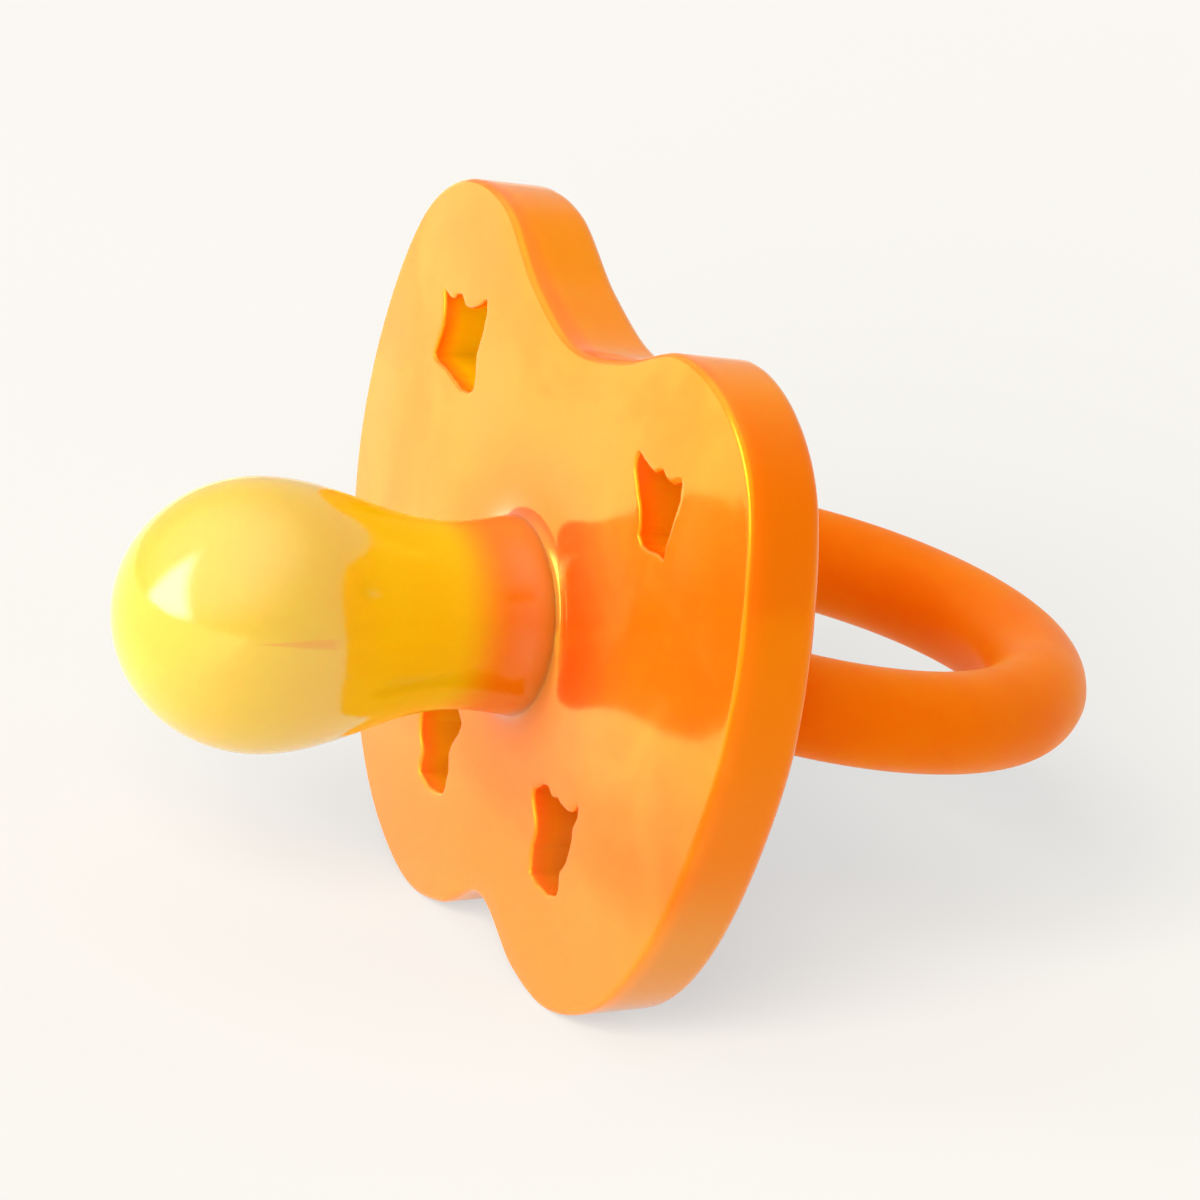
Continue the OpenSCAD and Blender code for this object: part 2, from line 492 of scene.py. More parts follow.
def line_of(bm: BMesh, points: Iterable[Vector], closed: bool = True) -> list:
    """Adds a line of vertices and edges.

    Args:
        bm: The mesh that gets the line.
        points: The line's points.
        closed: Whether the last point joins the first.

    Returns:
        The line's vertices and edges.
    """
    verts = [bm.verts.new(p) for p in points]
    edges = [bm.edges.new(pair) for pair in zip(verts, verts[1:])]
    if closed:
        edges.append(bm.edges.new((verts[-1], verts[0])))
    return verts + edges


def turned(profile: Iterable[tuple[float, float]], steps: int) -> BMesh:
    """A closed profile of radius and Y, spun round the teat's axis.

    Args:
        profile: Radius and Y of each point of the closed section.
        steps: How many steps the full turn has.

    Returns:
        The turned mesh, closed, with its faces outwards.
    """
    bm = bmesh.new()
    geom = line_of(bm, [Vector((r, y, 0.0)) for r, y in profile])
    bmesh.ops.spin(bm, geom=geom, cent=(0, 0, 0), axis=AXIS_Y, angle=math.tau, steps=steps, use_merge=True)
    close_up(bm)
    return bm


def arc(centre: tuple[float, float], radius: float, start: float, end: float,
        steps: int) -> list[tuple[float, float]]:
    """Points on an arc, angles in degrees from the first coordinate's axis.

    Args:
        centre: The arc's centre.
        radius: Its radius.
        start: The first angle.
        end: The last angle.
        steps: How many steps it has.

    Returns:
        The points, both ends included.
    """
    return [(centre[0] + radius * math.cos(math.radians(start + (end - start) * i / steps)),
             centre[1] + radius * math.sin(math.radians(start + (end - start) * i / steps)))
            for i in range(steps + 1)]


def smooth_loop(points: Iterable[tuple[float, float]], steps: int) -> np.ndarray:
    """A smooth closed curve through every point.

    Args:
        points: The points, in order.
        steps: How many points each span gets.

    Returns:
        The curve's points, one to a row.
    """
    p = np.array(points, float)
    a, b, c, d = np.roll(p, 1, 0), p, np.roll(p, -1, 0), np.roll(p, -2, 0)
    rows = []
    for i in range(len(p)):
        for t in np.arange(steps) / steps:
            rows.append(0.5 * (2 * b[i] + (c[i] - a[i]) * t + (2 * a[i] - 5 * b[i] + 4 * c[i] - d[i]) * t * t
                               + (3 * b[i] - a[i] - 3 * c[i] + d[i]) * t ** 3))
    return np.array(rows)


class Loop:
    """A closed line on the shield's face that a row of faces can be hung from.

    side is 1 where the rubber is inside the line, and -1 where the line is a hole in it. grow is how far
    the face's own border keeps back from the line, into the rubber.
    """

    def __init__(self, points: np.ndarray, side: int, grow: float) -> None:
        """Works out the line's normals and the border of the face.

        Args:
            points: The line, anticlockwise, one point to a row.
            side: 1 for the outline, -1 for a hole.
            grow: How far the face keeps back from the line.
        """
        self.side = side
        step = np.roll(points, -1, 0) - np.roll(points, 1, 0)
        step /= np.linalg.norm(step, axis=1)[:, None]
        self.out = np.stack([step[:, 1], -step[:, 0]], 1) * side
        self.border = points - self.out * grow

    def holds(self, p: np.ndarray) -> np.ndarray:
        """Which points are on the rubber's side of the border.

        Args:
            p: Points, one to a row.

        Returns:
            A mask.
        """
        a, b = self.border, np.roll(self.border, -1, 0)
        x, z = p[:, :1], p[:, 1:]
        crosses = (a[:, 1] > z) != (b[:, 1] > z)
        run = np.where(np.abs(b[:, 1] - a[:, 1]) < 1e-12, 1e-12, b[:, 1] - a[:, 1])
        inside = (crosses & (x < (b[:, 0] - a[:, 0]) * (z - a[:, 1]) / run + a[:, 0])).sum(1) % 2 == 1
        return inside if self.side > 0 else ~inside

    def nearest(self, p: np.ndarray) -> tuple[np.ndarray, np.ndarray, np.ndarray]:
        """The nearest places on the border.

        Args:
            p: Points, one to a row.

        Returns:
            The places on the border, the outward directions there, and the distances.
        """
        a = self.border
        run = np.roll(a, -1, 0) - a
        t = np.clip(((p[:, None] - a) * run).sum(2) / np.maximum((run * run).sum(1), 1e-18), 0, 1)
        spot = a + t[..., None] * run
        far = np.linalg.norm(p[:, None] - spot, axis=2)
        best = far.argmin(1)
        rows = np.arange(len(p))
        share = t[rows, best][:, None]
        out = self.out[best] * (1 - share) + np.roll(self.out, -1, 0)[best] * share
        return spot[rows, best], out / np.linalg.norm(out, axis=1)[:, None], far[rows, best]


# ---------------------------------------------------------------- pieces


class Piece:
    """A mesh of one finish that rides on a body and stands for one CAD node."""

    NAME: str
    NODE: str
    SLOT: Slot
    BODY = Body.PACIFIER

    def model(self) -> BMesh:
        """The piece's mesh, in place in the frame."""
        raise NotImplementedError

    def build(self, material: Material) -> None:
        """Models the piece and registers it with the frame.

        Args:
            material: Its finish.
        """
        bm = self.model()
        for face in bm.faces:
            face.smooth = True
        mesh = bpy.data.meshes.new(self.NAME)
        bm.to_mesh(mesh)
        bm.free()
        mesh.materials.append(material)
        piece = bpy.data.objects.new(self.NAME, mesh)
        bpy.context.scene.collection.objects.link(piece)
        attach(piece, self.BODY.value)
        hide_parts(self.NODE)
        LOG.info("%s: %d faces", self.NAME, len(mesh.polygons))


_LOWER_RIGHT = ((-2.7, 2.4), (-2.0, 2.5), (-1.1, 2.0), (-0.8, 2.4), (-0.1, 2.2), (0.6, 2.1), (1.4, 2.3),
                (2.0, 3.0), (2.0, 2.3), (1.6, 1.5), (1.7, 0.6), (1.4, -0.7), (0.7, -1.7), (0.9, -2.6),
                (0.7, -3.1), (-0.4, -3.4), (-1.7, -3.3), (-2.6, -3.0), (-2.8, -2.3), (-2.9, -1.5),
                (-2.6, -0.4), (-3.0, 0.4), (-3.5, 1.1), (-3.7, 1.7))
CROWNS = {
    "upper left": ((-3.8, 1.2), (-3.1, 1.0), (-2.5, 1.1), (-2.1, 1.5), (-1.4, 1.8), (-0.6, 1.3),
        (0.4, 1.6), (1.1, 2.0), (2.1, 2.8), (2.4, 2.0), (2.4, 0.8), (2.1, -0.6), (2.5, -1.6), (2.6, -2.5),
        (2.1, -2.9), (1.2, -3.1), (-0.2, -3.0), (-1.5, -2.8), (-3.0, -2.8), (-3.3, -2.6), (-3.0, -1.4),
        (-2.9, -0.6), (-3.3, 0.4)),
    "upper right": ((-3.2, 1.9), (-2.5, 1.7), (-1.7, 1.5), (-1.1, 1.4), (-0.2, 1.9), (0.3, 1.6),
        (1.1, 1.5), (2.0, 2.1), (2.2, 1.0), (2.0, -0.3), (1.9, -1.2), (1.6, -2.0), (1.8, -2.7),
        (0.9, -2.7), (-0.2, -2.9), (-0.9, -2.9), (-1.5, -2.5), (-1.5, -1.9), (-1.8, -1.1), (-2.3, -0.4),
        (-2.8, 0.2), (-3.2, 0.7), (-3.4, 1.4)),
    "lower right": _LOWER_RIGHT,
    "lower left": tuple((-x, z) for x, z in reversed(_LOWER_RIGHT)),
}


@dataclass
class Shield(Piece):
    """The butterfly shield with its collar, four crown vents and the seat for the plug.

    vents holds each one's name, its centre in mm and how much painted light its wall takes. vent_pace,
    in mm, is the longest step along a vent's outline. step is the pitch of the face's net.
    """

    NAME = "shield_skin"
    NODE = "shield"
    SLOT = Slot.SHIELD

    width: float = 51.0 * MM
    height: float = 41.4 * MM
    thickness: float = 6.0 * MM
    outline: tuple = ((0, 0.80), (0.24, 0.87), (0.47, 1.00), (0.70, 0.97), (0.89, 0.79), (0.985, 0.44),
                      (1.00, 0.07), (0.92, -0.31), (0.79, -0.64), (0.62, -0.87), (0.40, -0.99),
                      (0.20, -0.96), (0, -0.84))
    front_round: float = 0.38 * MM
    rim_inset: float = 1.4 * MM
    back_round: float = 0.9 * MM
    draft: float = 0.35 * MM
    flat_r: float = 9.0 * MM
    dome_r: float = 180.0 * MM
    dome_flat_r: float = 14.0 * MM
    hub_r: float = 9.3 * MM
    neck_r: float = 5.45 * MM
    bore_r: float = 5.0 * MM
    collar_h: float = 1.7 * MM
    collar_foot: float = 0.7 * MM
    collar_bend: float = 1.9
    seat_r: float = 7.5 * MM
    seat_y: float = 3.2 * MM
    # The last number of each vent is how much painted light its wall takes.
    vents: tuple = (("upper left", -13.6, 12.2, 0.9), ("upper right", 13.6, 12.2, 0.3),
                    ("lower left", -8.8, -10.5, 0.6), ("lower right", 8.8, -10.5, 0.3))
    vent_round: float = 0.2 * MM
    vent_pace: float = 0.22
    ragged: float = 0.07 * MM
    ragged_pitch: float = 2.1
    wave_depth: float = 0.08 * MM
    wave_pitch: float = 0.11
    blend: float = 10 * MM
    lip: float = 0.2 * MM
    seat_edge: float = 0.25 * MM
    step: float = 0.28 * MM
    settle: int = 12

    def _loops(self) -> tuple[Loop, Loop, list[Loop]]:
        """The outline, the hub's circle and the vents, as loops on the face.

        Returns:
            The outline, the hub and the list of vents.
        """
        half = [(x * self.width / 2, z * self.height / 2) for x, z in self.outline]
        whole = half + [(-x, z) for x, z in reversed(half[1:-1])]
        edge = smooth_loop(whole, 20)[::-1]
        turn = np.linspace(0, math.tau, 160, endpoint=False)
        hub = np.stack([np.cos(turn), np.sin(turn)], 1) * self.hub_r
        vents = []
        pitch = self.ragged_pitch
        for name, x, z, _ in self.vents:
            line = self._crown(CROWNS[name]) * MM + np.array([x, z]) * MM
            shift = [noise.noise_vector(Vector((p[0] / MM * pitch, p[1] / MM * pitch, 7.3))) for p in line]
            line = line + np.array([[v.x, v.y] for v in shift]) * self.ragged
            vents.append(Loop(line, -1, self.vent_round))
        return Loop(edge, 1, self.rim_inset), Loop(hub, -1, 0.0), vents

    def _crown(self, corners: tuple) -> np.ndarray:
        """A vent's outline with points at even steps between its corners.

        Args:
            corners: The outline's corners, clockwise.

        Returns:
            The outline, anticlockwise, one point to a row.
        """
        rows = []
        for a, b in zip(corners, corners[1:] + corners[:1]):
            count = max(1, math.ceil(math.dist(a, b) / self.vent_pace))
            rows += [(a[0] + (b[0] - a[0]) * i / count, a[1] + (b[1] - a[1]) * i / count)
                     for i in range(count)]
        return np.array(rows)[::-1]

    def front(self, x: float, z: float) -> float:
        """Y of the front face: flat round the hub, gently domed outside it, with a slow moulding wave.

        Args:
            x: Across the wings.
            z: Towards the nose.

        Returns:
            Y, in metres.
        """
        r = math.hypot(x, z)
        over = max(0.0, r - self.flat_r)
        slope_in = over - self.blend + self.blend * math.exp(-over / self.blend)
        dome = slope_in * (r + self.dome_flat_r) / (2 * self.dome_r)
        wave = noise.noise(Vector((x / MM * self.wave_pitch, z / MM * self.wave_pitch, 3.1)))
        return dome + self.wave_depth * wave * min(1.0, over / (3 * MM))

    def _sheet(self, loops: list[Loop]) -> tuple[BMesh, dict]:
        """The front face as an even net of quads whose borders follow the loops.

        Args:
            loops: The loops that bound it.

        Returns:
            The mesh, and for each border vertex its loop and its outward direction.
        """
        bm = bmesh.new()
        bm.verts.layers.float.new(PAINTED_VENT_LIGHT)
        across, up = round(self.width / self.step), round(self.height / self.step)
        bmesh.ops.create_grid(bm, x_segments=across, y_segments=up, size=1.0)
        reach = max(v.co.x for v in bm.verts)
        bmesh.ops.scale(bm, vec=(self.width / 2 / reach, self.height / 2 / reach, 1), verts=bm.verts)
        bmesh.ops.rotate(bm, cent=(0, 0, 0), matrix=Matrix.Rotation(math.pi / 2, 3, "X"), verts=bm.verts)
        middles = np.array([face.calc_center_median().xz for face in bm.faces])
        keep = np.logical_and.reduce([loop.holds(middles) for loop in loops])
        gone = [face for face, kept in zip(bm.faces, keep) if not kept]
        bmesh.ops.delete(bm, geom=gone, context="FACES")
        while True:
            pinched = [v for v in bm.verts if sum(e.is_boundary for e in v.link_edges) > 2]
            if not pinched:
                break
            bmesh.ops.delete(bm, geom=[v.link_faces[0] for v in pinched], context="FACES")
        border = [v for v in bm.verts if v.is_boundary]
        flat = np.array([v.co.xz for v in border])
        which = np.array([loop.nearest(flat)[2] for loop in loops]).argmin(0)
        for _ in range(self.settle):
            self._snap(border, which, loops)
            bmesh.ops.smooth_vert(bm, verts=bm.verts, factor=0.5, use_axis_x=True, use_axis_z=True)
        held = self._snap(border, which, loops)
        for v in bm.verts:
            v.co.y = self.front(v.co.x, v.co.z)
        return bm, held

    @staticmethod
    def _snap(border: list, which: np.ndarray, loops: list[Loop]) -> dict:
        """Moves the border vertices onto their loops.

        Args:
            border: The border vertices.
            which: The number of each one's loop.
            loops: The loops.

        Returns:
            For each border vertex, its loop's number and its outward direction.
        """
        held = {}
        for number, loop in enumerate(loops):
            mine = [v for v, w in zip(border, which) if w == number]
            spots, outs, _ = loop.nearest(np.array([v.co.xz for v in mine]))
            for v, spot, out in zip(mine, spots, outs):
                v.co.x, v.co.z = spot
                held[v] = (number, Vector((out[0], 0.0, out[1])))
        return held

    @staticmethod
    def _hang(bm: BMesh, held: dict, number: int, rings: Callable[[Vector, Vector], list],
              painted_vent_light: float = 0.0) -> None:
        """Hangs rows of faces from one loop of the sheet, round the edge to the back.

        Args:
            bm: The mesh.
            held: Loop number and outward direction of each border vertex.
            number: The loop.
            rings: Gives the places of a vertex in each row, from its own place and its direction.
            painted_vent_light: How much of the finish's painted vent light the rows take.
        """
        verts = [v for v, (n, _) in held.items() if n == number]
        tracks = {v: rings(v.co.copy(), held[v][1]) for v in verts}
        chosen = set(verts)
        layer = bm.verts.layers.float[PAINTED_VENT_LIGHT]
        edges = [e for e in bm.edges if e.is_boundary and e.verts[0] in chosen and e.verts[1] in chosen]
        rows = len(next(iter(tracks.values())))
        for row in range(rows):
            made = bmesh.ops.extrude_edge_only(bm, edges=edges)["geom"]
            new, edges = only(BMVert, made), only(BMEdge, made)
            fresh, moved = set(new), {}
            for v in new:
                old = next(e.other_vert(v) for e in v.link_edges if e.other_vert(v) not in fresh)
                moved[v] = tracks[old]
                v.co = tracks[old][row]
                # Painted light: the middle rows of a vent wall take the lighter vent colour.
                v[layer] = painted_vent_light if 3 < row < rows - 3 else 0.0
            tracks = moved

    def _edge_rings(self, at: Vector, out: Vector) -> list[Vector]:
        """Out to the front edge, over it, down the drafted side and round the back edge.

        Args:
            at: A place on the face's border.
            out: The outward direction there.

        Returns:
            The places of that vertex in each row.
        """
        front, back, full = self.front_round, self.back_round, self.rim_inset
        flat = full - front
        start = at.y + 0.1 * flat
        rows = [(flat * 0.5, (at.y + start) / 2), (flat, start)]
        rows += [(flat + front * math.sin(a), start + front * (1 - math.cos(a)))
                 for a in quarter(5)]
        low, high = start + front, self.thickness - back
        rows += [(full - self.draft * t, low + (high - low) * t) for t in (0.2, 0.4, 0.6, 0.8, 1.0)]
        rows += [(full - self.draft - back * (1 - math.cos(a)), high + back * math.sin(a))
                 for a in quarter(5)]
        rows.append((0.0, self.thickness))
        return [Vector((at.x, y, at.z)) + out * reach for reach, y in rows]

    def _vent_rings(self, at: Vector, out: Vector) -> list[Vector]:
        """Over the soft lip, through the hole and round its back edge.

        Args:
            at: A place on the face's border.
            out: The direction into the hole there.

        Returns:
            The places of that vertex in each row.
        """
        lip = self.vent_round
        rows = [(lip * math.sin(a), at.y + lip * (1 - math.cos(a)))
                for a in quarter(4)]
        low, high = rows[-1][1], self.thickness - lip
        rows += [(lip, low + (high - low) * t) for t in (0.2, 0.4, 0.6, 0.8, 1.0)]
        rows += [(lip * math.cos(a), high + lip * math.sin(a)) for a in quarter(3)]
        return [Vector((at.x, y, at.z)) + out * reach for reach, y in rows]

    def _hub_rings(self, at: Vector, out: Vector) -> list[Vector]:
        """Up the collar's flare, over its lip, down the bore and out along the plug's seat.

        Args:
            at: A place on the hub's circle.
            out: The direction towards the teat's axis there.

        Returns:
            The places of that vertex in each row.
        """
        lip, edge, seat, back = self.lip, self.seat_edge, self.seat_r, self.thickness
        top, up = self.neck_r + self.lip, self.collar_h - self.lip
        spread = self.hub_r - self.collar_foot - top
        rows = [(self.hub_r - self.collar_foot * i / 4, at.y * (1 - i / 4)) for i in range(1, 4)]
        rows += [(top + spread * (1 - math.sin(a)) ** self.collar_bend, -up * (1 - math.cos(a)))
                 for a in quarter(16, first=0)]
        rows += [(top - lip + lip * math.cos(a), -up - lip * math.sin(a)) for a in quarter(4)]
        rows += [(self.bore_r, y) for y in (-self.collar_h, -1.2 * MM, 0.0, 1.6 * MM, self.seat_y)]
        rows += [(seat, self.seat_y), (seat, self.seat_y + 1.2 * MM), (seat, back - edge),
                 (seat + edge * 0.32, back - edge * 0.32), (seat + edge, back), (self.hub_r, back)]
        return [Vector((0, y, 0)) - out * r for r, y in rows]

    def model(self) -> BMesh:
        """Models the shield in place.

        Returns:
            The mesh.
        """
        edge, hub, vents = self._loops()
        loops = [edge, hub, *vents]
        bm, held = self._sheet(loops)
        copy = bmesh.ops.duplicate(bm, geom=bm.faces[:] + bm.edges[:] + bm.verts[:])["geom"]
        for v in only(BMVert, copy):
            v.co.y = self.thickness
        self._hang(bm, held, 0, self._edge_rings)
        self._hang(bm, held, 1, self._hub_rings)
        for number, vent in enumerate(self.vents, start=2):
            self._hang(bm, held, number, self._vent_rings, painted_vent_light=vent[3])
        close_up(bm)
        return bm


@dataclass
class Teat(Piece):
    """The teat, empty inside: flange, neck and cherry-shaped bulb in one skin.

    swelling holds, for each Y in mm, the share of the neck's swell at its base.
    """

    NAME = "teat_skin"
    NODE = "teat"
    SLOT = Slot.TEAT

    neck_r: float = 5.45 * MM
    wall: float = 1.2 * MM
    neck: float = 4.5 * MM
    bulb_r: float = 8.0 * MM
    widest: float = 16.8 * MM
    nose: float = 8.6 * MM
    swell: float = 0.32 * MM
    flange_r: float = 7.45 * MM
    flange_back: float = 4.4 * MM
    flange_front: float = 3.2 * MM
    flange_edge: float = 0.2 * MM
    swelling: tuple = ((1.6, 1.0), (0.0, 1.0), (-0.7, 1.0), (-1.3, 0.86), (-1.9, 0.6), (-2.5, 0.36),
                       (-3.1, 0.16), (-3.7, 0.04))
    turns: int = 160

    def _skin(self, depth: float) -> list[tuple[float, float]]:
        """Radius and Y of the skin at one depth, from the straight neck to the tip.

        Args:
            depth: How far below the outside it is.

        Returns:
            The points.
        """
        rows = []
        for i in range(28):
            t = i / 28
            r = self.neck_r + (self.bulb_r - self.neck_r) * (1 - math.cos(math.pi * t)) / 2
            rows.append((r - depth, -(self.neck + (self.widest - self.neck) * t)))
        across, ahead = self.bulb_r - depth, self.nose - depth
        return rows + [(across * math.cos(a), -(self.widest + ahead * math.sin(a)))
                       for a in quarter(32, first=0)]

    def model(self) -> BMesh:
        """Models the teat in place.

        Returns:
            The mesh.
        """
        inner = self.neck_r - self.wall
        rim, edge, back, front = self.flange_r, self.flange_edge, self.flange_back, self.flange_front
        start = [(inner, back), (rim - edge, back), (rim, back - edge), (rim, front + edge),
                 (rim - edge, front), (self.neck_r, front)]
        start += [(self.neck_r + self.swell * share, y * MM) for y, share in self.swelling]
        tail = [(inner, y * MM) for y in (-3.0, -1.5, 0.0, 1.6)]
        profile = start + self._skin(0.0) + self._skin(self.wall)[::-1] + tail
        return turned(profile, self.turns)


@dataclass
class Plug(Piece):
    """The plug that closes the neck from behind, with the eye that the ring swings in."""

    NAME = "plug_with_eye"
    NODE = "plug"
    SLOT = Slot.PLUG

    flange_r: float = 7.45 * MM
    back: float = 6.0 * MM
    front: float = 4.4 * MM
    stem_r: float = 4.2 * MM
    stem_end: float = -1.1 * MM
    stem_tip: float = -1.9 * MM
    pivot_y: float = 9.5 * MM
    eye_r: float = 4.88 * MM
    hole_r: float = 3.08 * MM
    eye_w: float = 8.0 * MM
    web_z: float = 4.38 * MM
    foot_flare: float = 0.9 * MM
    edge: float = 0.6 * MM

    def _eye(self) -> BMesh:
        """The eye and its web: a band between its outline and the bar's hole, drawn out along X.

        Returns:
            The mesh.
        """
        bm = bmesh.new()
        half = math.degrees(math.asin(self.web_z / self.eye_r))
        around = arc((self.pivot_y, 0.0), self.eye_r, -(180 - half), 180 - half, 40)
        foot = self.back - 0.5 * MM
        flare = self.foot_flare
        side = [(self.back + flare, self.web_z)]
        side += [(self.back + flare * (1 - math.sin(a)), self.web_z + flare * (1 - math.cos(a)))
                 for a in quarter(4)]
        side += [(foot, self.web_z + flare), (foot, self.web_z * 0.5), (foot, 0.0)]
        outer = around + side + [(y, -z) for y, z in reversed(side[:-1])]
        angles = [math.atan2(z, y - self.pivot_y) for y, z in outer]
        inner = [(self.pivot_y + self.hole_r * math.cos(a), self.hole_r * math.sin(a)) for a in angles]
        x = -self.eye_w / 2
        first = line_of(bm, [Vector((x, y, z)) for y, z in outer])
        second = line_of(bm, [Vector((x, y, z)) for y, z in inner])
        band = bmesh.ops.bridge_loops(bm, edges=only(BMEdge, first + second))["faces"]
        made = bmesh.ops.extrude_face_region(bm, geom=band, use_keep_orig=True)["geom"]
        bmesh.ops.translate(bm, vec=(self.eye_w, 0, 0), verts=only(BMVert, made))
        close_up(bm)
        sharp = [e for e in bm.edges if len(e.link_faces) == 2 and e.calc_face_angle(0.0) > math.radians(60)
                 and min(v.co.y for v in e.verts) > self.back - 0.2 * MM]
        bmesh.ops.bevel(bm, geom=sharp, offset=self.edge, offset_type="OFFSET", segments=4, profile=0.5,
                        affect="EDGES", material=-1, clamp_overlap=True)
        return bm

    def model(self) -> BMesh:
        """Models the plug in place.

        Returns:
            The mesh.
        """
        soft = 0.3 * MM
        profile = [(0.0, self.back), (3.0 * MM, self.back), (6.2 * MM, self.back)]
        profile += arc((self.flange_r - soft, self.back - soft), soft, 90, 0, 4)
        profile += [(self.flange_r, self.front + 0.15 * MM), (self.flange_r - 0.15 * MM, self.front),
                    (self.stem_r, self.front), (self.stem_r, self.stem_end),
                    (self.stem_r - 0.8 * MM, self.stem_tip), (0.0, self.stem_tip)]
        bm = turned(profile, 128)
        eye = self._eye()
        mesh = bpy.data.meshes.new("eye")
        eye.to_mesh(mesh)
        eye.free()
        bm.from_mesh(mesh)
        bpy.data.meshes.remove(mesh)
        return bm


@dataclass
class Ring(Piece):
    """The round handle with one straight side, the bar that turns in the eye."""

    NAME = "ring_handle"
    NODE = "ring"
    SLOT = Slot.RING
    BODY = Body.RING

    ring_r: float = 14.6 * MM
    section_r: float = 3.0 * MM
    reach: float = 8.0 * MM
    bend_r: float = 4.0 * MM
    droop: float = 5.5
    pivot_y: float = 9.5 * MM
    seam: float = 0.035 * MM
    around: int = 56

    def model(self) -> BMesh:
        """Sweeps the round section along the bar, the bends and the main arc, and hangs the ring.

        Returns:
            The mesh.
        """
        bend_x = math.sqrt((self.ring_r - self.bend_r) ** 2 - (self.reach - self.bend_r) ** 2)
        bend = math.pi / 2 + math.atan2(-(self.reach - self.bend_r), bend_x)
        sweep = math.pi + 2 * math.atan2(self.reach - self.bend_r, bend_x)
        bm = bmesh.new()
        bmesh.ops.create_circle(bm, cap_ends=False, segments=self.around, radius=self.section_r)
        for v in bm.verts:
            near_seam = (abs(v.co.x) / self.section_r) ** 60
            v.co *= 1 - self.seam / self.section_r * (1 - near_seam)
        bmesh.ops.rotate(bm, cent=(0, 0, 0), matrix=Matrix.Rotation(math.pi / 2, 3, "X")
                         @ Matrix.Rotation(math.pi / 2, 3, "Y"), verts=bm.verts)
        bmesh.ops.rotate(bm, cent=(0, 0, 0), matrix=self._face_x(bm), verts=bm.verts)
        edges = self._straight(bm, bm.edges[:], bend_x)
        edges = self._turn(bm, edges, (bend_x, self.bend_r), bend, 10)
        edges = self._turn(bm, edges, (0.0, self.reach), sweep, 132)
        edges = self._turn(bm, edges, (-bend_x, self.bend_r), bend, 10)
        self._straight(bm, edges, bend_x)
        close_up(bm)
        bmesh.ops.rotate(bm, cent=(0, 0, 0), matrix=Matrix.Rotation(math.radians(-self.droop), 3, "X"),
                         verts=bm.verts)
        bmesh.ops.translate(bm, vec=(0, self.pivot_y, 0), verts=bm.verts)
        return bm

    @staticmethod
    def _face_x(bm: BMesh) -> Matrix:
        """The turn that brings the section's plane square to X, with its seam line in the ring's plane.

        Args:
            bm: The mesh that holds the section alone.

        Returns:
            The rotation.
        """
        spread = [max(v.co[i] for v in bm.verts) - min(v.co[i] for v in bm.verts) for i in range(3)]
        thin = spread.index(min(spread))
        if thin == 0:
            return Matrix.Identity(3)
        return Matrix.Rotation(math.pi / 2, 3, "Z" if thin == 1 else "Y")

    @staticmethod
    def _straight(bm: BMesh, edges: list, length: float, steps: int = 8) -> list:
        """Draws the section out along +X, from the bar's middle or back to it.

        Args:
            bm: The mesh.
            edges: The section's edges.
            length: How far.
            steps: In how many steps.

        Returns:
            The last section's edges.
        """
        for _ in range(steps):
            made = bmesh.ops.extrude_edge_only(bm, edges=edges)["geom"]
            edges = only(BMEdge, made)
            bmesh.ops.translate(bm, vec=(length / steps, 0, 0), verts=only(BMVert, made))
        return edges

    @staticmethod
    def _turn(bm: BMesh, edges: list, centre: tuple[float, float], angle: float, steps: int) -> list:
        """Spins the section round a centre in the ring's plane.

        Args:
            bm: The mesh.
            edges: The section's edges.
            centre: X and Y of the centre.
            angle: How far it turns.
            steps: In how many steps.

        Returns:
            The last section's edges.
        """
        verts = list({v for e in edges for v in e.verts})
        last = bmesh.ops.spin(bm, geom=verts + list(edges), cent=(*centre, 0), axis=(0, 0, 1), angle=angle,
                              steps=steps, use_merge=False)["geom_last"]
        return only(BMEdge, last)


